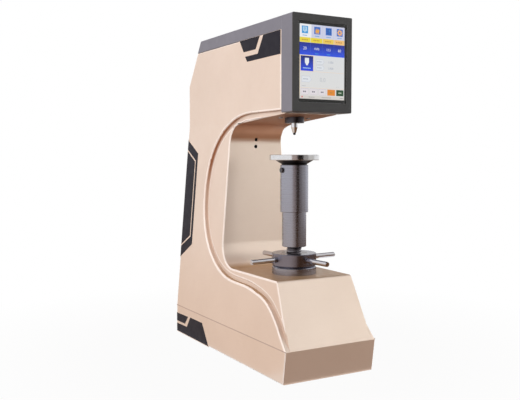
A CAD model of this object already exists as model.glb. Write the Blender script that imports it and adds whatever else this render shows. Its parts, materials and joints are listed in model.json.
import json
import math

import bmesh
import bpy
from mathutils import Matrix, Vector


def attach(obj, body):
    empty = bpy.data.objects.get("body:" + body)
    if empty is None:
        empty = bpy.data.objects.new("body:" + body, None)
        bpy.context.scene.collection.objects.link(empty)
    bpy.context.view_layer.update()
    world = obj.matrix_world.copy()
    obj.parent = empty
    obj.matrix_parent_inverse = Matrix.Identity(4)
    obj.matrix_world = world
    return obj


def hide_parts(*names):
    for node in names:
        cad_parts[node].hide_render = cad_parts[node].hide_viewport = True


# Looks of the bench hardness tester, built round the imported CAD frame.
# Lengths are written in millimetres and multiplied by MM; Blender works in metres.
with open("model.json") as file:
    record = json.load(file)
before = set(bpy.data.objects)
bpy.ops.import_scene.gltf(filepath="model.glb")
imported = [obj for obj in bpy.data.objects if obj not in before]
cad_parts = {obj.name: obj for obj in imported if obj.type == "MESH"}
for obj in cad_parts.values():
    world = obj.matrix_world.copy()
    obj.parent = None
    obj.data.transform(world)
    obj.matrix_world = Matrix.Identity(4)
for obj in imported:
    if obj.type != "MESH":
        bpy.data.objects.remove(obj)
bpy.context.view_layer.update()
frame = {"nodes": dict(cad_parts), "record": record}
NODES = frame["nodes"]
MM = 0.001

# ---- places repeated from the CAD
SCREW_Y = -134.0
FRONT_Y, REAR_Y = -292.0, 292.0
DECK_EDGE_Y, DECK_LEVEL = -224.0, 215.0
WALL_Y = 51.0
SEAM_Y = -204.0
SKIRT_LEVEL, SKIRT_GAP, SKIRT_RAKE, PANEL_LEDGE = 75.5, 1.5, 11.0, 5.0
FLARE_TOP, COVER_LEVEL = 573.0, 770.0
SLANT_FOOT, SLANT_RUN, SLANT_DROP = 684.5, 79.0, 115.5
BASE_HALF, ARM_HALF = 120.0, 78.5
BAND_TOP, BAND_BOTTOM = 6.0, 8.5
SCREEN_HALF, SCREEN_BOTTOM, SCREEN_TOP = 59.5, 616.3, 777.3
GLASS_HALF, GLASS_BOTTOM, GLASS_TOP = 63.3, 609.0, 783.6
SCREEN_Y = -248.3
REAR_FACE_Y = 288.0
WALL_HOLES = (516.3, 534.0)
SCREEN_RATIO = 119 / 161    # the picture area's width over its height

# ---- choices of the visual model
EDGE_ROUNDING = 5.0         # largest rounding of the casting's edges
ROUNDED_CREASES = {         # creases across the casting, as (y, z), and their share of it
    (DECK_EDGE_Y, DECK_LEVEL): 1.0,
    (REAR_Y, SLANT_FOOT): 1.0,
    (FRONT_Y, SKIRT_LEVEL): 0.6,
    (FRONT_Y + PANEL_LEDGE, SKIRT_LEVEL + PANEL_LEDGE): 0.6,
}
FLANK_SHARE, BAND_SHARE = 0.6, 0.45     # the same for the edges of the flanks and of the band
ROUNDED_FROM, BLENDED_BELOW = 24, 38    # degrees between two faces
SIDEWAYS = 0.8              # a face whose normal has this much x counts as a side
BAND_TIP = 140.0            # below this level the band is too narrow for strips
ON_SURFACE, ON_LINE = 0.06, 0.1         # how far off a side surface or a crease a point may lie
LARGE_FACE = 0.004          # square metres, faces that keep their own direction in the shading
PIXEL_PITCH, PIXEL_DEPTH, SCREEN_GLOW = 0.42, 0.05, 0.92    # the display: its grid and its light
STUD_LEVEL = 7.05           # zinc-plated studs above it, rubber pads below
CARBIDE_TOP, CARBIDE_FULL = 546.4, 545.8    # the indenter turns from chrome to carbide between them


def flare(z):
    """How far up the flare a level is: 0 at the skirt, 1 where the arm stands upright."""
    return min(1.0, max(0.0, (z - SKIRT_LEVEL) / (FLARE_TOP - SKIRT_LEVEL)))


def flank_x(z):
    """Half the body's width at a level."""
    return BASE_HALF + flare(z) * (ARM_HALF - BASE_HALF)


def band_x(z):
    """The same for the band round the throat, which is set in."""
    return flank_x(z) - BAND_BOTTOM - flare(z) * (BAND_TOP - BAND_BOTTOM)


# ---- materials
def srgb(red, green, blue):
    """A colour as a picture shows it, as the linear colour a shader takes."""
    return tuple(((c / 255 + 0.055) / 1.055) ** 2.4 if c > 10 else c / 255 / 12.92
                 for c in (red, green, blue)) + (1.0,)


class Finish:
    """A material whose colour, roughness and bump come from a few small node chains."""

    def __init__(self, name, colour, rough=0.5, metallic=0.0, **sockets):
        self.mat = bpy.data.materials.new(name)
        self.mat.use_nodes = True
        self.tree = self.mat.node_tree
        self.tree.nodes.clear()
        self.out = self.tree.nodes.new("ShaderNodeOutputMaterial")
        self.shader = self.tree.nodes.new("ShaderNodeBsdfPrincipled")
        self.tree.links.new(self.shader.outputs[0], self.out.inputs[0])
        self.shader.inputs["Base Color"].default_value = colour
        self.shader.inputs["Roughness"].default_value = rough
        self.shader.inputs["Metallic"].default_value = metallic
        for key, value in sockets.items():
            self.shader.inputs[key.replace("_", " ")].default_value = value
        self.colour, self.rough, self.height = colour, rough, None
        self.place = self.add("ShaderNodeTexCoord").outputs["Object"]

    def add(self, kind, **settings):
        node = self.tree.nodes.new(kind)
        for key, value in settings.items():
            setattr(node, key, value)
        return node

    def feed(self, socket, value):
        if isinstance(value, bpy.types.NodeSocket):
            self.tree.links.new(value, socket)
        else:
            socket.default_value = value

    def sum(self, operation, first, second=0.5):
        node = self.add("ShaderNodeMath", operation=operation)
        for socket, value in zip(node.inputs, (first, second)):
            self.feed(socket, value)
        return node.outputs[0]

    def axes(self):
        node = self.add("ShaderNodeSeparateXYZ")
        self.feed(node.inputs[0], self.place)
        return node.outputs

    def stretched(self, scale):
        """The place, stretched along each axis."""
        node = self.add("ShaderNodeMapping", vector_type="TEXTURE")
        self.feed(node.inputs["Vector"], self.place)
        node.inputs["Scale"].default_value = tuple(1 / s for s in scale)
        return node.outputs[0]

    def distance(self, x, y):
        return self.sum("SQRT", self.sum("ADD", self.sum("MULTIPLY", x, x), self.sum("MULTIPLY", y, y)))

    def rings(self):
        """Coordinates that run as rings about the screw's upright axis."""
        x, y, z = self.axes()
        y = self.sum("SUBTRACT", y, SCREW_Y * MM)
        radius = self.distance(x, y)
        node = self.add("ShaderNodeCombineXYZ")
        self.feed(node.inputs[0], radius)
        self.feed(node.inputs[2], z)
        return node.outputs[0]

    def noise(self, scale, detail=3.0, where=None):
        node = self.add("ShaderNodeTexNoise")
        self.feed(node.inputs["Vector"], where or self.place)
        node.inputs["Scale"].default_value = scale
        node.inputs["Detail"].default_value = detail
        node.inputs["Roughness"].default_value = 0.55
        return node.outputs["Fac"]

    def cells(self, scale, output="Distance", feature="F1"):
        node = self.add("ShaderNodeTexVoronoi", feature=feature)
        self.feed(node.inputs["Vector"], self.place)
        node.inputs["Scale"].default_value = scale
        return node.outputs[output]

    def span(self, value, low, high, to_low=0.0, to_high=1.0):
        node = self.add("ShaderNodeMapRange")
        for socket, given in zip(node.inputs, (value, low, high, to_low, to_high)):
            self.feed(socket, given)
        return node.outputs[0]

    def blend(self, factor, first, second, kind="MIX"):
        node = self.add("ShaderNodeMix", data_type="RGBA", blend_type=kind)
        self.feed(node.inputs[0], factor)
        self.feed(node.inputs[6], first)
        self.feed(node.inputs[7], second)
        return node.outputs[2]

    def tint(self, factor, colour):
        self.colour = self.blend(factor, self.colour, colour)

    def roughen(self, value, low, high):
        self.rough = self.span(value, 0.3, 0.7, low, high)

    def raise_by(self, value, amount):
        added = self.sum("MULTIPLY", value, amount)
        self.height = added if self.height is None else self.sum("ADD", self.height, added)

    def softened(self, radius, samples):
        """The surface's direction with its edges rounded."""
        bevel = self.add("ShaderNodeBevel", samples=samples)
        bevel.inputs["Radius"].default_value = radius * MM
        return bevel.outputs[0]

    def edges(self, width, worn):
        """How worn the paint or metal is: 0 on open surfaces, the given value along sharp edges."""
        bare = self.add("ShaderNodeNewGeometry").outputs["Normal"]
        node = self.add("ShaderNodeVectorMath", operation="DOT_PRODUCT")
        self.feed(node.inputs[0], self.softened(width, 6))
        self.feed(node.inputs[1], bare)
        return self.span(node.outputs["Value"], 0.995, 0.86, 0.0, worn)

    def done(self, strength=1.0, round_edges=0.0):
        """Links what was built up, and returns the material."""
        self.feed(self.shader.inputs["Base Color"], self.colour)
        self.feed(self.shader.inputs["Roughness"], self.rough)
        normal = self.softened(round_edges, 8) if round_edges else None
        if self.height is not None:
            bump = self.add("ShaderNodeBump")
            bump.inputs["Strength"].default_value = strength
            bump.inputs["Distance"].default_value = 1.0
            self.feed(bump.inputs["Height"], self.height)
            if normal is not None:
                self.feed(bump.inputs["Normal"], normal)
            normal = bump.outputs[0]
        if normal is not None:
            self.feed(self.shader.inputs["Normal"], normal)
        return self.mat


def paint(name, colour, darker, rough, grain, peel, edge=0.12, round_edges=0.0, coat=0.0, metallic=0.0,
          specular=0.5, below=None, above=None):
    """Stoved paint: faint clouding, orange peel, a little wear along the edges."""
    f = Finish(name, colour, rough, metallic, Coat_Weight=coat, Coat_Roughness=0.18,
               Specular_IOR_Level=specular)
    f.tint(f.span(f.noise(5.0, 4), 0.35, 0.7, 0.0, 0.55), darker)
    f.tint(f.span(f.noise(1400, 2), 0.35, 0.65, 0.0, grain), darker)
    f.tint(f.span(f.noise(40, 5, where=f.stretched((1, 1, 6))), 0.55, 0.75, 0.0, 0.18), darker)
    if below:
        split = f.add("ShaderNodeSeparateXYZ")
        f.feed(split.inputs[0], f.add("ShaderNodeNewGeometry").outputs["Normal"])
        f.tint(f.span(split.outputs[2], -0.03, -0.35), below)
        f.tint(f.span(split.outputs[2], 0.85, 0.99, 0.0, 0.9), above)
    if edge:
        f.tint(f.edges(1.2, edge), (0.9, 0.88, 0.86, 1))
    f.roughen(f.noise(60, 5), rough - 0.05, rough + 0.07)
    f.raise_by(f.noise(650, 2), peel * 0.00005)
    f.raise_by(f.noise(2600, 1), peel * 0.000012)
    return f.done(0.6, round_edges)


def turned(name, colour, darker, rough, line=0.000001, edge=0.5):
    """Metal turned about the screw's axis: fine rings in colour, gloss and height."""
    f = Finish(name, colour, rough, 1.0)
    fine = f.noise(2600, 2, where=f.rings())
    coarse = f.noise(420, 3, where=f.rings())
    f.tint(f.span(fine, 0.3, 0.7, 0.0, 0.06), darker)
    f.tint(f.span(f.noise(25, 5), 0.45, 0.75, 0.0, 0.3), darker)
    f.tint(f.edges(0.5, edge), (0.78, 0.78, 0.79, 1))
    f.roughen(coarse, rough - 0.025, rough + 0.025)
    f.raise_by(fine, line)
    return f.done(0.7, 0.4)


def milled(name, colour, darker, rough, stretch, scale=90, line=0.000012, edge=0.4):
    """Metal with straight tool or rolling marks along one axis."""
    f = Finish(name, colour, rough, 1.0)
    marks = f.noise(scale, 4, where=f.stretched(stretch))
    f.tint(f.span(marks, 0.3, 0.7, 0.0, 0.4), darker)
    f.tint(f.span(f.noise(18, 5), 0.5, 0.8, 0.0, 0.3), darker)
    f.tint(f.edges(0.5, edge), (0.8, 0.8, 0.81, 1))
    f.roughen(marks, rough - 0.06, rough + 0.08)
    f.raise_by(marks, line)
    return f.done(0.6, 0.3)


def galvanised(name):
    """Zinc-coated sheet with its spangle."""
    f = Finish(name, srgb(176, 180, 184), 0.42, 1.0)
    grey = f.add("ShaderNodeSeparateColor")
    f.feed(grey.inputs[0], f.cells(160, output="Color"))
    f.tint(f.span(grey.outputs[0], 0.0, 1.0, 0.0, 0.5), srgb(132, 137, 142))
    f.tint(f.span(f.noise(30, 5), 0.55, 0.8, 0.0, 0.4), srgb(204, 206, 208))
    f.roughen(grey.outputs[0], 0.34, 0.5)
    f.raise_by(f.noise(900, 2), 0.00002)
    return f.done(0.5, 0.4)


def plastic(name, colour, darker, rough, texture=0.00004):
    """Moulded plastic or rubber with a fine spark-eroded texture."""
    f = Finish(name, colour, rough)
    f.tint(f.span(f.noise(12, 4), 0.35, 0.7, 0.0, 0.6), darker)
    f.tint(f.edges(0.8, 0.12), (0.5, 0.5, 0.5, 1))
    f.roughen(f.noise(120, 4), rough - 0.06, rough + 0.08)
    f.raise_by(f.cells(1500), texture)
    f.raise_by(f.noise(700, 3), texture * 0.6)
    return f.done(0.5, 0.5)


def rubber_feet(name):
    """Rubber pads below, zinc-plated studs above."""
    f = Finish(name, srgb(34, 34, 36), 0.75)
    z = f.axes()[2]
    stud = f.sum("GREATER_THAN", z, STUD_LEVEL * MM)
    f.tint(f.span(f.noise(60, 4), 0.4, 0.7, 0.0, 0.5), srgb(58, 58, 60))
    f.tint(stud, srgb(178, 180, 182))
    f.rough = f.sum("ADD", f.span(f.noise(200, 3), 0.3, 0.7, 0.62, 0.82),
                    f.sum("MULTIPLY", stud, -0.38))
    f.feed(f.shader.inputs["Metallic"], stud)
    f.raise_by(f.sum("SINE", f.sum("MULTIPLY", z, 3600)), 0.00012)
    f.raise_by(f.noise(900, 3), 0.00005)
    return f.done(0.6, 0.4)


def indenter_steel(name):
    """Chromed holder with the dark carbide ball at its tip."""
    f = Finish(name, srgb(226, 226, 230), 0.12, 1.0)
    z = f.axes()[2]
    f.tint(f.span(z, CARBIDE_TOP * MM, CARBIDE_FULL * MM), srgb(52, 50, 52))
    f.tint(f.span(f.noise(900, 2, where=f.rings()), 0.4, 0.7, 0.0, 0.25), srgb(168, 168, 174))
    f.roughen(f.noise(500, 3, where=f.rings()), 0.08, 0.2)
    f.raise_by(f.noise(2000, 2, where=f.rings()), 0.000006)
    return f.done(0.6, 0.3)


def circuit_board(name):
    """Green laminate with copper runs under the solder mask and pale pads."""
    f = Finish(name, srgb(24, 84, 52), 0.35)
    runs = f.cells(90, feature="DISTANCE_TO_EDGE")
    f.tint(f.span(runs, 0.035, 0.02), srgb(44, 122, 74))
    f.tint(f.span(f.cells(260), 0.16, 0.12), srgb(206, 190, 140))
    f.tint(f.span(f.noise(20, 4), 0.4, 0.8, 0.0, 0.4), srgb(16, 62, 40))
    f.roughen(f.noise(200, 3), 0.28, 0.42)
    f.raise_by(f.span(runs, 0.035, 0.02), 0.00002)
    return f.done(0.5, 0.2)


def glass(name):
    """Cover glass: clear, with a thin sheen and faint smears in its gloss."""
    f = Finish(name, (1, 1, 1, 1), 0.04)
    clear = f.add("ShaderNodeBsdfTransparent")
    sheen = f.add("ShaderNodeBsdfGlossy")
    f.feed(sheen.inputs["Roughness"], f.span(f.noise(14, 5), 0.4, 0.75, 0.02, 0.09))
    sheen.inputs["Color"].default_value = (1, 1, 1, 1)
    fresnel = f.add("ShaderNodeFresnel")
    fresnel.inputs["IOR"].default_value = 1.45
    mix = f.add("ShaderNodeMixShader")
    f.feed(mix.inputs[0], fresnel.outputs[0])
    f.feed(mix.inputs[1], clear.outputs[0])
    f.feed(mix.inputs[2], sheen.outputs[0])
    f.tree.nodes.remove(f.shader)
    f.feed(f.out.inputs[0], mix.outputs[0])
    return f.mat


def lit(name, top, bottom=None, ends=None):
    """A lit patch of the display: its colour, maybe running to another, with the pixel grid."""
    f = Finish(name, (0.01, 0.01, 0.01, 1), 0.5, Specular_IOR_Level=0.1)
    x, _, z = f.axes()
    colour = top
    if bottom:
        colour = f.blend(f.span(z, ends[0] * MM, ends[1] * MM), top, bottom)
    wave = 2 * math.pi / (PIXEL_PITCH * MM)
    lines, columns = [f.sum("SINE", f.sum("MULTIPLY", axis, wave)) for axis in (z, x)]
    pattern = f.span(f.sum("ADD", lines, columns), -2, 2, 1 - PIXEL_DEPTH, 1.0)
    grey = f.add("ShaderNodeCombineColor")
    for socket in grey.inputs[:3]:
        f.feed(socket, pattern)
    f.feed(f.shader.inputs["Emission Color"], f.blend(1.0, colour, grey.outputs[0], "MULTIPLY"))
    f.shader.inputs["Emission Strength"].default_value = SCREEN_GLOW
    return f.mat


FINISHES = {
    "casting_paint": paint("champagne_paint", srgb(236, 214, 198), srgb(224, 201, 184), 0.36, 0.10, 1.0,
                           edge=0.0, metallic=0.5, below=srgb(186, 134, 104), above=srgb(176, 134, 90)),
    "grey_paint": paint("grey_paint", srgb(124, 121, 131), srgb(108, 105, 114), 0.42, 0.25, 1.2,
                        round_edges=0.8),
    "dark_panel": paint("dark_panel", srgb(54, 52, 52), srgb(47, 45, 45), 0.5, 0.3, 1.4, round_edges=0.6),
    "sheet_metal": paint("rear_cover_paint", srgb(222, 202, 186), srgb(206, 184, 166), 0.45, 0.25, 1.6,
                         round_edges=0.5),
    "gunmetal": turned("gunmetal", srgb(159, 160, 172), srgb(139, 140, 151), 0.27, edge=0.3),
    "polished_steel": turned("polished_steel", srgb(222, 222, 224), srgb(176, 176, 180), 0.17, line=0.000002),
    "machined_steel": turned("machined_steel", srgb(176, 176, 180), srgb(120, 120, 124), 0.30),
    "bronze": turned("bronze", srgb(196, 150, 88), srgb(150, 106, 60), 0.34),
    "machined_aluminium": milled("machined_aluminium", srgb(206, 208, 212), srgb(160, 163, 168), 0.32,
                                 (1, 30, 1)),
    "galvanised": galvanised("galvanised_sheet"),
    "black_steel": turned("black_oxide_steel", srgb(54, 52, 54), srgb(34, 33, 35), 0.38, edge=0.35),
    "chrome": milled("chrome", srgb(228, 228, 232), srgb(190, 190, 196), 0.09, (1, 1, 1), 400,
                     0.000003, 0.2),
    "black_rubber": rubber_feet("rubber_and_zinc"),
    "black_plastic": plastic("black_plastic", srgb(30, 30, 32), srgb(44, 44, 46), 0.45),
    "circuit_board": circuit_board("circuit_board"),
    "display": plastic("display_module", srgb(26, 27, 26), srgb(38, 38, 38), 0.4),
    "touch_glass": glass("touch_glass"),
}
EDGE_PAINT = paint("champagne_edge", srgb(255, 240, 230), srgb(250, 228, 214), 0.3, 0.05, 0.4,
                   edge=0.0, coat=0.3)
OWN = {                     # nodes that look different from the rest of their slot
    "timing_belt": plastic("belt_rubber", srgb(28, 28, 30), srgb(46, 46, 48), 0.8, 0.0001),
    "indenter": indenter_steel("chrome_and_carbide"),
    "wheel_hub": turned("hub_gunmetal", srgb(132, 129, 141), srgb(114, 111, 122), 0.25, edge=0.25),
    "lifting_nut": turned("nut_gunmetal", srgb(132, 124, 126), srgb(112, 104, 106), 0.3, edge=0.2),
    "spindle": turned("spindle_gunmetal", srgb(78, 75, 80), srgb(62, 60, 64), 0.3, edge=0.3),
    **{f"wheel_rod_{n}": turned(f"rod_{n}_steel", srgb(208, 206, 211), srgb(186, 183, 188), 0.07, edge=0.3)
       for n in (1, 2, 3, 4)},
    "lock_screw": turned("lock_screw_black", srgb(88, 86, 90), srgb(60, 58, 62), 0.28, edge=0.2),
}
SLOTS = {part["node"]: part["material_slot"] for part in frame["record"]["subparts"]}
for node_name, node in NODES.items():
    finish = OWN.get(node_name, FINISHES[SLOTS[node_name]])
    for slot in node.material_slots:
        slot.material = finish


# ---- mesh helpers
def placed(name, data):
    """A new object in the scene."""
    piece = bpy.data.objects.new(name, data)
    bpy.context.scene.collection.objects.link(piece)
    return piece


def meshed(name, bm):
    """A mesh made from a bmesh, which is used up."""
    mesh = bpy.data.meshes.new(name)
    bm.to_mesh(mesh)
    bm.free()
    return mesh


def keep(name, bm, materials, body="frame", smooth_angle=None, outward=True):
    """Makes a piece from a bmesh: it rides on a body and counts towards a material slot."""
    if outward:
        bmesh.ops.recalc_face_normals(bm, faces=bm.faces)
    bm.normal_update()
    mesh = meshed(name, bm)
    piece = placed(name, mesh)
    for material in materials:
        mesh.materials.append(material)
    if smooth_angle is not None:
        mesh.polygons.foreach_set("use_smooth", [True] * len(mesh.polygons))
        mesh.set_sharp_from_angle(angle=math.radians(smooth_angle))
    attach(piece, body)
    return piece


def evaluated(piece):
    """An object's mesh with its modifiers applied, or its text filled in."""
    bpy.context.view_layer.update()
    depsgraph = bpy.context.evaluated_depsgraph_get()
    return bpy.data.meshes.new_from_object(piece.evaluated_get(depsgraph))


def joined(bm, one, two):
    """Four-sided faces between two closed rows of as many points."""
    after = list(range(1, len(one))) + [0]
    return [bm.faces.new((one[i], one[j], two[j], two[i])) for i, j in enumerate(after)]


def circle(count):
    """Cosine and sine of evenly spaced directions."""
    return [(math.cos(2 * math.pi * i / count), math.sin(2 * math.pi * i / count)) for i in range(count)]


def ring_points(bm, count, radius, x, y, z):
    """Points round an axis that runs along Y."""
    return [bm.verts.new(Vector((x + radius * c, y, z + radius * q)) * MM) for c, q in circle(count)]


def cleaned(node_name):
    """A bmesh copy of a CAD node with its flat faces joined up."""
    bm = bmesh.new()
    bm.from_mesh(NODES[node_name].data)
    bmesh.ops.remove_doubles(bm, verts=bm.verts, dist=2e-6)
    bmesh.ops.dissolve_limit(bm, angle_limit=math.radians(0.25), use_dissolve_boundaries=False,
                             verts=bm.verts, edges=bm.edges, delimit={"NORMAL"})
    return bm


def widened(points, amount):
    """A flat outline moved outwards by an amount, with mitred corners."""
    area = sum(a[0] * b[1] - b[0] * a[1] for a, b in zip(points, points[1:] + points[:1])) / 2
    turn = 1 if area > 0 else -1
    corners = [Vector(point) for point in points]
    moved = []
    for before, here, after in zip(corners[-1:] + corners[:-1], corners, corners[1:] + corners[:1]):
        one, two = (here - before).normalized(), (after - here).normalized()
        n_one, n_two = Vector((one.y, -one.x)) * turn, Vector((two.y, -two.x)) * turn
        mid = (n_one + n_two).normalized()
        moved.append(tuple(here + mid * amount / max(0.3, mid.dot(n_one))))
    return moved


def film(bm, outline, surface, side, low, high, material):
    """A thin sheet on a flank: the outline in (y, z), between two heights over the surface."""
    def at(point, height):
        y, z = point
        return Vector((side * (surface(z) + height), y, z)) * MM
    under = [bm.verts.new(at(p, low)) for p in outline]
    over = [bm.verts.new(at(p, high)) for p in outline]
    for face in [bm.faces.new(over), bm.faces.new(under[::-1])] + joined(bm, under, over):
        face.material_index = material


# ---- camera, stage and light
STUDIO_CARDS = [
    ("card_camera_side", -42, -18, srgb(170, 152, 146)),
    ("card_front_dark", -18, 10, srgb(16, 14, 16)),
    ("card_front_right", 10, 34, srgb(168, 164, 162)),
    ("card_right", 34, 70, srgb(214, 212, 208)),
]


def seen_directly(tree):
    """1 for rays that show a thing: from the camera, in gloss or through glass."""
    rays = tree.nodes.new("ShaderNodeLightPath").outputs
    seen = rays["Is Camera Ray"]
    for kind in ("Is Glossy Ray", "Is Transmission Ray"):
        node = tree.nodes.new("ShaderNodeMath")
        node.operation = "MAXIMUM"
        tree.links.new(seen, node.inputs[0])
        tree.links.new(rays[kind], node.inputs[1])
        seen = node.outputs[0]
    return seen


def build_stage():
    """The photo's camera, a floor and world seen as white, lamps, and panels seen in gloss only."""
    camera = bpy.data.cameras.new("camera")
    camera.lens, camera.sensor_width = 50.48, 36.0
    camera.clip_start, camera.clip_end = 0.05, 60
    rig = placed("camera", camera)
    rig.location = (-0.9184, -1.5901, 0.4899)
    rig.rotation_euler = (math.radians(86.607), 0, math.radians(-29.55))
    bpy.context.scene.camera = rig

    bm = bmesh.new()
    bmesh.ops.create_grid(bm, x_segments=12, y_segments=12, size=6.0)
    floor = placed("floor", meshed("floor", bm))
    f = Finish("studio_floor", srgb(112, 94, 80), 0.9, Specular_IOR_Level=0.0)
    f.tint(f.span(f.noise(3, 3), 0.3, 0.7, 0.0, 0.3), srgb(124, 108, 94))
    f.done()
    white = f.add("ShaderNodeEmission")
    white.inputs["Color"].default_value = (1, 1, 1, 1)
    white.inputs["Strength"].default_value = 1.0
    mix = f.add("ShaderNodeMixShader")
    x, y, _ = f.axes()
    far = f.span(f.distance(x, y), 0.40, 1.0, 0.96, 1.0)
    f.feed(mix.inputs[0], f.sum("MULTIPLY", seen_directly(f.tree), far))
    f.feed(mix.inputs[1], f.shader.outputs[0])
    f.feed(mix.inputs[2], white.outputs[0])
    f.feed(f.out.inputs[0], mix.outputs[0])
    floor.data.materials.append(f.mat)

    world = bpy.data.worlds.new("studio")
    bpy.context.scene.world = world
    world.use_nodes = True
    tree = world.node_tree
    back = tree.nodes["Background"]
    back.inputs["Color"].default_value = (1, 1, 1, 1)
    level = tree.nodes.new("ShaderNodeMapRange")
    level.inputs["To Min"].default_value = 0.34
    level.inputs["To Max"].default_value = 1.0
    tree.links.new(seen_directly(tree), level.inputs[0])
    tree.links.new(level.outputs[0], back.inputs["Strength"])

    def lamp(name, place, target, size, power, colour=(1, 1, 1), shines=False):
        """An area lamp aimed at a point. It shows in gloss only where shines is set."""
        light = bpy.data.lights.new(name, "AREA")
        light.shape, light.size, light.size_y = "RECTANGLE", size[0], size[1]
        light.energy, light.color = power, colour
        holder = placed(name, light)
        holder.location = place
        holder.rotation_euler = (Vector(target) - Vector(place)).to_track_quat("-Z", "Y").to_euler()
        holder.visible_glossy = shines

    lamp("left_soft", (-2.6, -0.5, 1.7), (0, 0, 0.6), (2.6, 2.0), 78, (0.985, 0.985, 1.0))
    lamp("front_soft", (2.0, -2.5, 0.85), (0, 0, 0.4), (1.6, 1.2), 99, (0.88, 0.98, 1.0))
    lamp("top_soft", (0.2, -0.8, 2.8), (0, 0, 0.3), (2.0, 2.0), 8, (1, 1, 1), True)
    lamp("rear_soft", (0.9, 3.2, 1.7), (0, 0.2, 0.4), (2.0, 1.6), 34)
    lamp("right_soft", (2.6, 0.4, 1.2), (0, 0, 0.4), (1.4, 1.6), 9, (0.97, 0.98, 1.0))

    def card(name, start, end, colour, low=-0.4, high=2.4):
        """An upright curved panel that only shines back in gloss, as a studio's flags do.
        start and end are degrees round the object, from straight in front towards the right."""
        radius = 3.6
        bm = bmesh.new()
        steps = max(2, int(abs(end - start) / 5) + 1)
        pairs = []
        for index in range(steps + 1):
            turn = math.radians(start + (end - start) * index / steps)
            x, y = radius * math.sin(turn), -radius * math.cos(turn)
            pairs.append((bm.verts.new((x, y, low)), bm.verts.new((x, y, high))))
        for (a, b), (c, d) in zip(pairs, pairs[1:]):
            bm.faces.new((a, c, d, b))
        shine_only(name, bm, colour)

    def flat_card(name, corners, colour, level=0.0004):
        """The same, lying flat: just over the floor, or overhead."""
        bm = bmesh.new()
        bm.faces.new([bm.verts.new((x, y, level)) for x, y in corners])
        shine_only(name, bm, colour)

    def shine_only(name, bm, colour):
        panel = placed(name, meshed(name, bm))
        f = Finish(name, (0, 0, 0, 1), 1.0, Specular_IOR_Level=0.0)
        f.shader.inputs["Emission Color"].default_value = colour
        f.shader.inputs["Emission Strength"].default_value = 1.0
        panel.data.materials.append(f.mat)
        panel.visible_camera = panel.visible_diffuse = False
        panel.visible_shadow = panel.visible_transmission = False

    for label, start, end, colour in STUDIO_CARDS:
        card(label, start, end, colour)
    card("card_behind", 105, 195, srgb(58, 50, 56), 1.6, 5.0)
    flat_card("card_floor", [(-0.6, -3.6), (3.6, -3.6), (3.6, 3.6), (0.5, 3.6), (0.5, -0.286),
                             (-0.6, -0.286)], srgb(116, 82, 56))
    flat_card("card_floor_left", [(-3.6, -3.6), (-0.62, -3.6), (-0.62, -0.2), (-0.13, -0.2),
                                  (-0.13, 3.6), (-3.6, 3.6)], srgb(236, 219, 204))
    flat_card("card_above", [(-1.4, -2.0), (1.6, -2.0), (1.6, 2.4), (-1.4, 2.4)], srgb(50, 44, 44), 2.5)
    bpy.context.scene.view_settings.view_transform = "Standard"


build_stage()


# ---- casting with rounded edges
def on_back(edge):
    """True for an edge of the flanks along the top, the back or the bottom of the casting."""
    slant_top = REAR_Y - SLANT_RUN * (COVER_LEVEL - SLANT_FOOT) / SLANT_DROP
    corners = [(SEAM_Y, COVER_LEVEL), (slant_top, COVER_LEVEL), (REAR_Y, SLANT_FOOT),
               (REAR_Y, SKIRT_GAP), (FRONT_Y + SKIRT_RAKE, SKIRT_GAP)]
    here = Vector((edge.verts[0].co + edge.verts[1].co).yz) / (2 * MM)
    for start, end in zip(corners, corners[1:]):
        a, b = Vector(start), Vector(end)
        share = (here - a).dot(b - a) / (b - a).length_squared
        if -0.01 <= share <= 1.01 and (here - a - share * (b - a)).length < ON_LINE:
            return True
    return False


def on_side(part, surface):
    """True for a face or an edge that lies in one of the side surfaces."""
    return all(abs(abs(v.co.x / MM) - surface(v.co.z / MM)) < ON_SURFACE for v in part.verts)


def bevel_weight(edge):
    """How round an edge of the casting is cast, as a share of the largest rounding."""
    if not edge.is_manifold or edge.calc_face_angle(0) < math.radians(ROUNDED_FROM) or not edge.is_convex:
        return 0.0
    start, end = [v.co / MM for v in edge.verts]
    middle = (start + end) / 2
    if abs((end - start).normalized().x) > 0.999:
        for (y, z), share in ROUNDED_CREASES.items():
            if abs(middle.y - y) < ON_LINE and abs(middle.z - z) < ON_LINE:
                return share
        return 0.0
    if on_side(edge, flank_x):
        return FLANK_SHARE
    return BAND_SHARE if on_side(edge, band_x) else 0.0


def light_tip(bm):
    """Below BAND_TIP the set-in band narrows to a point, and the whole of it is lit up."""
    def band():
        return [f for f in bm.faces if on_side(f, band_x) and abs(f.normal.x) > SIDEWAYS]
    cut = band()
    edges = {e for f in cut for e in f.edges}
    verts = {v for f in cut for v in f.verts}
    bmesh.ops.bisect_plane(bm, geom=cut + list(edges) + list(verts), dist=1e-7,
                           plane_co=(0, 0, BAND_TIP * MM), plane_no=(0, 0, 1))
    for face in band():
        if max(v.co.z for v in face.verts) < (BAND_TIP + ON_LINE) * MM:
            face.material_index = 1


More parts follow.
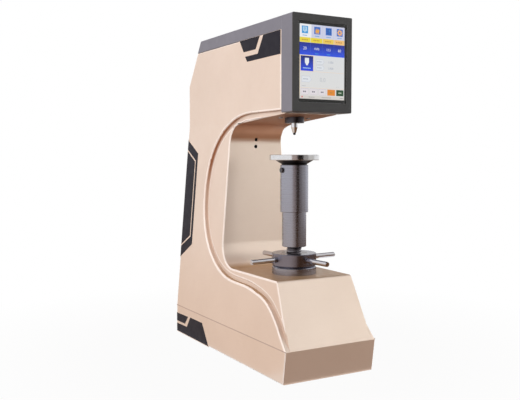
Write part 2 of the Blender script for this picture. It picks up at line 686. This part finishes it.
def edge_strips(bm, layer):
    """Narrow light strips inside the side surfaces, along the rounded edges of groove and throat."""
    strips = bmesh.new()
    for face in bm.faces:
        highest = max(v.co.z for v in face.verts)
        if abs(face.normal.x) < SIDEWAYS or face.material_index or highest < (SKIRT_LEVEL + 1) * MM:
            continue
        if on_side(face, band_x):
            near, far = 2.1, 4.4
        elif on_side(face, flank_x):
            near, far = 2.9, 5.0
        else:
            continue
        inward = {}
        for loop in face.loops:
            here, there = loop.vert.co, loop.link_loop_next.vert.co
            if loop.edge[layer] > 0 and not on_back(loop.edge):
                inward[loop] = face.normal.cross(there - here).normalized()
        for loop, own in inward.items():
            corners = []
            after = loop.link_loop_next
            for vert, other in ((loop.vert, loop.link_loop_prev), (after.vert, after)):
                beside = inward.get(other, own)
                middle = (own + beside).normalized()
                reach = middle / max(0.5, middle.dot(own)) * MM
                corners.append([vert.co + reach * offset + face.normal * lift * MM
                                for offset, lift in ((near, -0.2), (near, 0.05), (far, 0.05), (far, -0.2))])
            one, two = [[strips.verts.new(point) for point in row] for row in corners]
            joined(strips, one, two)
            strips.faces.new(one[::-1])
            strips.faces.new(two)
    keep("edge_highlights", strips, [EDGE_PAINT])


def shade_by_large_faces(mesh, large, angle):
    """Smooth shading in which big flat faces keep their own direction and small ones blend into them."""
    around = [[] for _ in mesh.vertices]
    for polygon in mesh.polygons:
        for index in polygon.vertices:
            around[index].append(polygon)
    limit = math.cos(angle)
    normals = []
    for polygon in mesh.polygons:
        for index in polygon.vertices:
            near = [p for p in around[index] if p.normal.dot(polygon.normal) > limit]
            big = [p for p in near if p.area > large]
            if polygon.area > large:
                big = near = [polygon]
            total = Vector((0, 0, 0))
            for other in big or near:
                total += other.normal * other.area
            normals.append(total.normalized() if total.length > 1e-12 else polygon.normal)
    mesh.normals_split_custom_set(normals)


def casting():
    """The CAD casting with rounded edges, in its place."""
    bm = cleaned("body_casting")
    layer = bm.edges.layers.float.new("bevel_weight_edge")
    for edge in bm.edges:
        edge[layer] = bevel_weight(edge)
    light_tip(bm)
    edge_strips(bm, layer)
    for face in bm.faces:   # the cones of the countersunk wall holes
        middle = face.calc_center_median() / MM
        if abs(middle.x) < 6 and abs(middle.y - WALL_Y) < 0.9 and -0.95 < face.normal.y < -0.3:
            face.material_index = 1
    piece = keep("casting_shell", bm, [FINISHES["casting_paint"], EDGE_PAINT], outward=False)
    bevel = piece.modifiers.new("rounded_edges", "BEVEL")
    bevel.limit_method = "WEIGHT"
    bevel.width, bevel.segments, bevel.profile = EDGE_ROUNDING * MM, 3, 0.5
    bevel.use_clamp_overlap, bevel.loop_slide = False, True
    bevel.material = 1
    shaped = evaluated(piece)
    piece.modifiers.clear()
    old, piece.data = piece.data, shaped
    bpy.data.meshes.remove(old)
    shaped.name = "casting_shell"
    bm = bmesh.new()
    bm.from_mesh(shaped)
    bmesh.ops.remove_doubles(bm, verts=bm.verts, dist=1e-5)
    bmesh.ops.dissolve_degenerate(bm, edges=bm.edges, dist=1e-6)
    bm.to_mesh(shaped)
    bm.free()
    shaped.polygons.foreach_set("use_smooth", [True] * len(shaped.polygons))
    for polygon in shaped.polygons:     # top, back and front creases keep the plain paint
        y, z = polygon.center.y / MM, polygon.center.z / MM
        slant = (SLANT_FOOT - z) * SLANT_RUN / SLANT_DROP - 2
        front = abs(polygon.normal.x) < 0.3 and polygon.center.y < -0.2
        upper = z > SLANT_FOOT and (z > COVER_LEVEL - 2 or y - REAR_Y > slant)
        if polygon.material_index == 1 and (front or upper or y > REAR_Y - 2):
            polygon.material_index = 0
    shade_by_large_faces(shaped, LARGE_FACE, math.radians(BLENDED_BELOW))
    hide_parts("body_casting")


casting()


def wall_threads():
    """Tapped, dark linings in the two accessory holes of the column's wall."""
    bm = bmesh.new()
    count, depth, pitch = 32, 9.0, 1.5
    outside, root, crest, blind_end, plug_radius = 4.46, 4.3, 3.95, 4.2, 4.44
    rows = [(outside, 1.0), (outside, depth), (blind_end, depth)]
    y = depth
    while y > 1.6:
        rows += [(crest, y - 0.45), (root, y - pitch)]
        y -= pitch
    for level in WALL_HOLES:
        rings = [ring_points(bm, count, radius, 0, WALL_Y + y, level) for radius, y in rows]
        for one, two in zip(rings, rings[1:] + rings[:1]):
            joined(bm, one, two)
        plug = [ring_points(bm, count, plug_radius, 0, WALL_Y + depth + more, level) for more in (0.05, 0.8)]
        joined(bm, *plug)
        bm.faces.new(plug[0])
        bm.faces.new(plug[1][::-1])
    keep("wall_hole_threads", bm, [FINISHES["black_steel"]], smooth_angle=40)


wall_threads()


# ---- inlays on the flanks
INLAY_DARK = paint("inlay_charcoal", srgb(36, 33, 42), srgb(29, 27, 35), 0.5, 0.3, 0.6, edge=0.1,
                   specular=0.12)
INLAY_LIGHT = paint("inlay_cream", srgb(238, 212, 192), srgb(228, 200, 180), 0.4, 0.1, 0.3, edge=0.05)
CREASE = paint("crease_shadow", srgb(196, 170, 156), srgb(184, 158, 144), 0.55, 0.2, 0.3, edge=0.0)
# outlines on the flank, in (y, z)
UPPER_TRAPEZE = [(-9, 769.2), (-29, 740.5), (-88, 740.5), (-108, 769.2)]
UPPER_HOOK = [(-124, 769.2), (-97.5, 729.3), (-36, 729.3), (-46.5, 716), (-200.6, 716.5), (-200.6, 769.2)]
REAR_OUTER = [(291.4, 536), (291.4, 210.5), (220, 252.5), (221, 498.5)]
REAR_LINE = [(291.4, 509.5), (291.4, 505.5), (237.5, 477), (237.0, 274.6), (291.4, 244.4), (291.4, 240.6),
             (233, 272.0), (233.5, 479.5)]
SKIRT_CELL = [(291.4, 53), (291.4, 30.6), (237, 31), (215, 54.5)]
SKIRT_MAIN = [(201, 55.5), (224.6, 25), (291.4, 24), (291.4, 2.2), (88.4, 2.2), (125.5, 55.8)]


def held_below(outline):
    """Keeps an outline's rim under the top cover, off the head and inside the rear face."""
    return [(min(291.8, max(y, -203.6)), z if z < 700 else min(z, 769.5)) for y, z in outline]


def inlays():
    """Dark inlays with a pale rim on both flanks, and the shadow line over the skirt."""
    for side, label in ((-1, "left"), (1, "right")):
        bm = bmesh.new()
        for outline in (UPPER_TRAPEZE, UPPER_HOOK, SKIRT_CELL, SKIRT_MAIN, REAR_OUTER):
            film(bm, held_below(widened(outline, 1.7)), flank_x, side, -0.3, 0.08, 0)
            film(bm, outline, flank_x, side, 0.0, 0.2, 1)
        film(bm, REAR_LINE, flank_x, side, 0.1, 0.28, 0)
        keep("flank_inlays_" + label, bm, [INLAY_LIGHT, INLAY_DARK])
        bm = bmesh.new()
        low, high = SKIRT_LEVEL - 1.5, SKIRT_LEVEL + 0.9
        film(bm, [(FRONT_Y + 1.2, low), (FRONT_Y + 1.0, high), (REAR_Y - 0.6, high), (REAR_Y - 0.6, low)],
             flank_x, side, -0.4, 0.16, 0)
        keep("skirt_crease_" + label, bm, [CREASE])


inlays()


# ---- lifting screw with its thread
def threaded_screw():
    """The lifting screw with a real thread and keyway below its plain upper part."""
    low, high, pitch = 105.0, 345.0, 6.0
    radius_outside, crest, core, radius_tip = 18.0, 17.95, 16.3, 15.0
    key_half, key_flat, key_top, key_corner = 4.05, 14.0, 300.0, 0.8    # the corner in degrees
    profile = [(0.0, core), (0.17, 17.9), (0.33, crest), (0.49, 17.9), (0.66, core), (0.83, 16.2)]
    edge = math.degrees(math.asin(key_half / radius_outside))
    angles = sorted({i * 6.0 for i in range(60)}
                    | {90 + side * (edge + more) for side in (-1, 1) for more in (0, key_corner)})
    rows = [(turn * pitch + share * pitch, radius)
            for turn in range(-1, int((high - low) / pitch) + 2) for share, radius in profile]
    bm = bmesh.new()
    lattice = []
    for rise, radius in rows:
        ring = []
        for angle in angles:
            z = min(high, max(low, low + rise + pitch * angle / 360))
            reach = crest if z >= high - 0.01 else min(radius, radius_tip + z - low)
            a = math.radians(angle)
            x, y = reach * math.cos(a), reach * math.sin(a)
            if abs(x) <= key_half and y > key_flat and z < key_top:
                y = key_flat
            ring.append(bm.verts.new(Vector((x, y + SCREW_Y, z)) * MM))
        lattice.append(ring)
    per_turn = len(profile)
    for k, (one, two) in enumerate(zip(lattice, lattice[1:])):
        for j in range(len(angles) - 1):
            bm.faces.new((one[j], one[j + 1], two[j + 1], two[j]))
        if k + 1 + per_turn < len(lattice):     # from the end of a turn to the start of the next
            bm.faces.new((one[-1], lattice[k + per_turn][0], lattice[k + 1 + per_turn][0], two[-1]))
    bmesh.ops.remove_doubles(bm, verts=bm.verts, dist=5e-6)
    bmesh.ops.dissolve_degenerate(bm, edges=bm.edges, dist=2e-6)
    loose = [v for v in bm.verts if not v.link_faces]
    bmesh.ops.delete(bm, geom=loose, context="VERTS")
    upper = bmesh.new()
    upper.from_mesh(NODES["lifting_screw"].data)
    bmesh.ops.remove_doubles(upper, verts=upper.verts, dist=2e-6)
    bmesh.ops.bisect_plane(upper, geom=upper.verts[:] + upper.edges[:] + upper.faces[:], dist=1e-7,
                           plane_co=(0, 0, high * MM), plane_no=(0, 0, 1), clear_inner=True)
    spare = meshed("spare", upper)
    bm.from_mesh(spare)
    bpy.data.meshes.remove(spare)
    for face in bm.faces:
        face.material_index = 0
    dark = turned("screw_steel", srgb(134, 130, 136), srgb(100, 96, 102), 0.26, edge=0.3)
    piece = keep("threaded_screw", bm, [dark], body="screw", smooth_angle=28)
    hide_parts("lifting_screw")


threaded_screw()


# ---- the lit display
class Screen:
    """Collects flat shapes of the display by colour. u runs right and v runs down, from 0 to 1."""

    def __init__(self):
        self.shapes = {}

    def point(self, u, v, level):
        x = -SCREEN_HALF + u * 2 * SCREEN_HALF
        z = SCREEN_TOP - v * (SCREEN_TOP - SCREEN_BOTTOM)
        return Vector((x, SCREEN_Y - 0.03 - 0.03 * level, z)) * MM

    def shape(self, colour, points, level):
        bm = self.shapes.setdefault(colour, bmesh.new())
        bm.faces.new([bm.verts.new(self.point(u, v, level)) for u, v in points])

    def box(self, colour, u0, v0, u1, v1, level):
        self.shape(colour, [(u0, v0), (u0, v1), (u1, v1), (u1, v0)], level)

    def outline(self, colour, u0, v0, u1, v1, level, line=0.004):
        high = line * SCREEN_RATIO
        self.box(colour, u0, v0, u1, v0 + high, level)
        self.box(colour, u0, v1 - high, u1, v1, level)
        self.box(colour, u0, v0, u0 + line, v1, level)
        self.box(colour, u1 - line, v0, u1, v1, level)

    def marks(self, colour, u0, v, u1, level, count=5, high=0.007):
        """A row of short dashes where a real display has a caption."""
        step = (u1 - u0) / count
        for i in range(count):
            self.box(colour, u0 + i * step, v - high, u0 + (i + 0.72) * step, v + high, level)

    def ring(self, colour, u, v, radius, level, inner, count=24):
        """A ring, drawn round on the picture, which is higher than wide."""
        def at(reach, turn):
            return u + reach * turn[0], v - reach * turn[1] * SCREEN_RATIO
        ring = circle(count)
        for a, b in zip(ring, ring[1:] + ring[:1]):
            self.shape(colour, [at(radius, a), at(inner, a), at(inner, b), at(radius, b)], level)

    def tag(self, v, outer, inner):
        """A pointed tag in a thin line, each given as left, bend, tip and half its height."""
        for (left, bend, tip, half), colour, level in ((outer, "tag_line", 1), (inner, "page_light", 2)):
            self.shape(colour, [(left, v - half), (left, v + half), (bend, v + half), (tip, v),
                                (bend, v - half)], level)

    def number(self, colour, text, u, v, height, level):
        """A plain number in Blender's own font, centred on a point."""
        curve = bpy.data.curves.new("number", "FONT")
        curve.body, curve.align_x, curve.align_y = text, "CENTER", "CENTER"
        curve.size, curve.resolution_u = 1.0, 3
        holder = placed("number", curve)
        mesh = evaluated(holder)
        bm = self.shapes.setdefault(colour, bmesh.new())
        scale = height / 0.72
        made = [bm.verts.new(self.point(u + p.co.x * scale / SCREEN_RATIO, v - p.co.y * scale, level))
                for p in mesh.vertices]
        for polygon in mesh.polygons:
            bm.faces.new([made[i] for i in polygon.vertices])
        bpy.data.objects.remove(holder)
        bpy.data.curves.remove(curve)
        bpy.data.meshes.remove(mesh)


PLAIN_COLOURS = {
    "lavender": (214, 217, 240), "white": (246, 248, 252), "pale_line": (196, 202, 228),
    "sky": (70, 160, 225), "blue": (58, 116, 205), "deep_blue": (44, 84, 160),
    "pale_blue": (190, 224, 246), "orange": (244, 176, 70), "pale_orange": (250, 186, 120),
    "yellow": (242, 222, 66), "amber": (246, 212, 92), "light_orange": (252, 202, 126),
    "rust": (196, 140, 70), "value_line": (70, 110, 220), "cream": (252, 226, 188),
    "tag_line": (186, 192, 214), "page_light": (234, 238, 243), "grey_text": (168, 176, 194),
    "grey_number": (196, 200, 206), "faint": (196, 198, 204), "thin_orange": (250, 216, 184),
    "button_line": (206, 188, 204), "button": (236, 230, 234), "dark_text": (96, 92, 110),
    "orange_button": (236, 144, 50), "green_button": (40, 78, 48), "pale_green": (196, 212, 190),
    "status": (222, 218, 212), "red": (226, 76, 70),
}
RUNNING_COLOURS = {         # two colours, and where from the top each is full
    "page": ((226, 231, 236), (232, 231, 229), 0.0, 1.0),
    "values": ((40, 48, 140), (50, 88, 236), 0.245, 0.41),
    "indenter_box": ((26, 40, 110), (48, 82, 236), 0.424, 0.626),
}


def draw_screen():
    """The picture on the display: dashes for captions, plain numbers for values."""
    s = Screen()
    s.box("page", 0, 0, 1, 1, 0)
    s.box("lavender", 0.26, 0.0, 1, 0.176, 1)
    s.box("white", 0.0, 0.0, 0.26, 0.176, 1)
    for u in (0.26, 0.505, 0.75):
        s.box("pale_line", u - 0.002, 0.0, u + 0.002, 0.176, 2)
    # four icons on blue tiles
    centres = (0.115, 0.385, 0.64, 0.89)
    for u in centres:
        s.box("sky" if u == centres[0] else "blue", u - 0.068, 0.026, u + 0.068, 0.126, 2)
        s.marks("sky", u - 0.05, 0.152, u + 0.05, 2, 4, 0.006)
    u = centres[0]
    s.box("pale_blue", u - 0.045, 0.038, u + 0.045, 0.096, 3)
    for v, right in ((0.05, 0.028), (0.064, 0.028), (0.078, 0.010)):
        s.box("sky", u - 0.028, v, u + right, v + 0.006, 4)
    s.box("pale_blue", u - 0.012, 0.096, u + 0.012, 0.112, 3)
    u = centres[1]
    for shift in (-0.028, 0.0, 0.028):
        s.shape("orange", [(u + shift - 0.016, 0.104), (u + shift + 0.012, 0.104), (u + shift + 0.018, 0.07),
                           (u + shift + 0.004, 0.046), (u + shift - 0.008, 0.07)], 3)
    s.box("pale_orange", u - 0.042, 0.108, u + 0.042, 0.115, 3)
    u = centres[2]
    for shift in (-0.036, 0.0, 0.036):
        s.box("deep_blue", u + shift - 0.004, 0.036, u + shift + 0.004, 0.116, 3)
    for v in (0.05, 0.076, 0.102):
        s.box("deep_blue", u - 0.052, v - 0.003, u + 0.052, v + 0.003, 3)
    s.box("sky", u + 0.008, 0.055, u + 0.030, 0.071, 4)
    u = centres[3]
    s.ring("pale_orange", u, 0.076, 0.046, 3, 0.018)
    for i in range(8):
        a = math.radians(i * 45)
        c, q = math.cos(a), math.sin(a)
        tooth = [(0.040, -0.010), (0.060, -0.008), (0.060, 0.008), (0.040, 0.010)]
        s.shape("pale_orange", [(u + r * c - t * q, 0.076 - (r * q + t * c) * SCREEN_RATIO)
                                for r, t in tooth], 3)
    # heading row and value row
    edges = [0.0, 0.238, 0.505, 0.76, 1.0]
    for colour, left, right in zip(("yellow", "yellow", "amber", "light_orange"), edges, edges[1:]):
        s.box(colour, left + 0.004, 0.178, right - 0.004, 0.243, 1)
        middle = (left + right) / 2
        s.marks("rust", middle - 0.07, 0.211, middle + 0.07, 2, 4, 0.007)
    s.box("values", 0.0, 0.245, 1.0, 0.412, 1)
    for u in edges[1:-1]:
        s.box("value_line", u - 0.002, 0.248, u + 0.002, 0.41, 2)
    for text, u in (("20", 0.115), ("1500", 0.37), ("12.5", 0.635), ("60", 0.885)):
        s.number("white", text, u, 0.325, 0.040 if len(text) < 4 else 0.032, 3)
    s.marks("sky", 0.34, 0.388, 0.42, 2, 3, 0.006)
    s.marks("sky", 0.60, 0.388, 0.68, 2, 3, 0.006)
    # indenter box
    s.box("cream", 0.015, 0.418, 0.305, 0.632, 1)
    s.box("indenter_box", 0.024, 0.424, 0.298, 0.626, 2)
    s.shape("white", [(0.115, 0.452), (0.205, 0.452), (0.205, 0.512), (0.172, 0.552), (0.148, 0.552),
                      (0.115, 0.512)], 3)
    s.box("pale_blue", 0.115, 0.462, 0.205, 0.467, 4)
    s.box("pale_blue", 0.135, 0.478, 0.142, 0.51, 4)
    s.marks("pale_blue", 0.075, 0.588, 0.245, 3, 7, 0.006)
    # two tags with their values
    for v in (0.492, 0.575):
        s.tag(v, (0.36, 0.505, 0.548, 0.034), (0.364, 0.503, 0.543, 0.031))
        s.marks("grey_text", 0.385, v, 0.49, 3, 3, 0.005)
        s.number("grey_text", "1.000", 0.685, v, 0.030, 2)
    s.box("thin_orange", 0.30, 0.628, 1.0, 0.6315, 1)
    # result
    s.tag(0.735, (0.05, 0.215, 0.262, 0.04), (0.054, 0.213, 0.257, 0.037))
    s.marks("grey_text", 0.08, 0.735, 0.19, 3, 4, 0.006)
    s.number("grey_number", "0.0", 0.51, 0.738, 0.056, 2)
    s.marks("faint", 0.05, 0.827, 0.14, 2, 3, 0.005)
    s.number("faint", "0 / 0", 0.855, 0.827, 0.020, 2)
    s.box("thin_orange", 0.0, 0.849, 1.0, 0.852, 1)
    # buttons and the line under them
    for index in range(3):
        u = 0.03 + index * 0.195
        s.outline("button_line", u, 0.862, u + 0.165, 0.944, 2)
        s.box("button", u + 0.004, 0.865, u + 0.161, 0.941, 1)
        s.marks("dark_text", u + 0.05, 0.903, u + 0.118, 3, 2, 0.009)
    s.box("orange_button", 0.615, 0.862, 0.79, 0.944, 2)
    s.marks("rust", 0.68, 0.903, 0.735, 3, 2, 0.009)
    s.box("green_button", 0.818, 0.862, 0.985, 0.944, 2)
    s.marks("pale_green", 0.87, 0.903, 0.945, 3, 2, 0.009)
    s.box("status", 0.0, 0.955, 1.0, 1.0, 1)
    s.box("red", 0.045, 0.966, 0.068, 0.985, 2)
    for left, right, count in ((0.20, 0.33, 8), (0.49, 0.70, 12), (0.90, 0.985, 5)):
        s.marks("dark_text", left, 0.976, right, 2, count, 0.003)
    s.box("cream", 0.0, 0.41, 0.008, 0.955, 2)
    for name, bm in s.shapes.items():
        for face in bm.faces:
            face.normal_update()
            if face.normal.y > 0:
                face.normal_flip()
        if name in RUNNING_COLOURS:
            top, bottom, *ends = RUNNING_COLOURS[name]
            levels = [SCREEN_TOP - v * (SCREEN_TOP - SCREEN_BOTTOM) for v in ends]
            material = lit("lit_" + name, srgb(*top), srgb(*bottom), levels)
        else:
            material = lit("lit_" + name, srgb(*PLAIN_COLOURS[name]))
        keep("screen_" + name, bm, [material], outward=False)


def screen_border():
    """The black print on the back of the glass, round the lit picture."""
    bm = bmesh.new()
    y = (SCREEN_Y - 0.25) * MM
    outer, inner = [[(-half, low), (half, low), (half, high), (-half, high)]
                    for half, low, high in ((GLASS_HALF * 0.998, GLASS_BOTTOM, GLASS_TOP),
                                            (SCREEN_HALF, SCREEN_BOTTOM, SCREEN_TOP))]
    rings = []
    for depth in (y, y + 0.15 * MM):
        rings.append(([bm.verts.new((x * MM, depth, z * MM)) for x, z in outer],
                      [bm.verts.new((x * MM, depth, z * MM)) for x, z in inner]))
    for i in range(4):
        j = (i + 1) % 4
        (o, n), (p, q) = rings
        bm.faces.new((o[i], o[j], n[j], n[i]))
        bm.faces.new((p[j], p[i], q[i], q[j]))
        bm.faces.new((o[j], o[i], p[i], p[j]))
        bm.faces.new((n[i], n[j], q[j], q[i]))
    keep("screen_border", bm, [FINISHES["display"]])


draw_screen()
screen_border()


# ---- rear cover screws
def cross_head_screws():
    """Pan-head screws round the rear cover, with their cross recesses."""
    bm = bmesh.new()
    places = [(x, z) for x in (-68.0, 68.0) for z in (106.0, 240.0, 375.0, 510.0, 644.0)]
    count, cross_width, recess = 32, 0.42, 1.0
    profile = [(1.4, 1.9), (2.5, 1.75), (3.2, 1.35), (3.5, 0.8), (3.5, -0.4)]
    for x, z in places:
        rings = [ring_points(bm, count, radius, x, REAR_FACE_Y + rise, z) for radius, rise in profile]
        for index, vert in enumerate(rings[0]):
            if abs(math.sin(4 * math.pi * index / count)) < cross_width:
                vert.co.y -= recess * MM
        middle = bm.verts.new(Vector((x, REAR_FACE_Y + 0.8, z)) * MM)
        for i in range(count):
            bm.faces.new((middle, rings[0][(i + 1) % count], rings[0][i]))
        for one, two in zip(rings, rings[1:]):
            joined(bm, one, two)
        bm.faces.new(rings[-1])
    keep("rear_cover_screws", bm, [FINISHES["machined_steel"]], smooth_angle=35)


cross_head_screws()
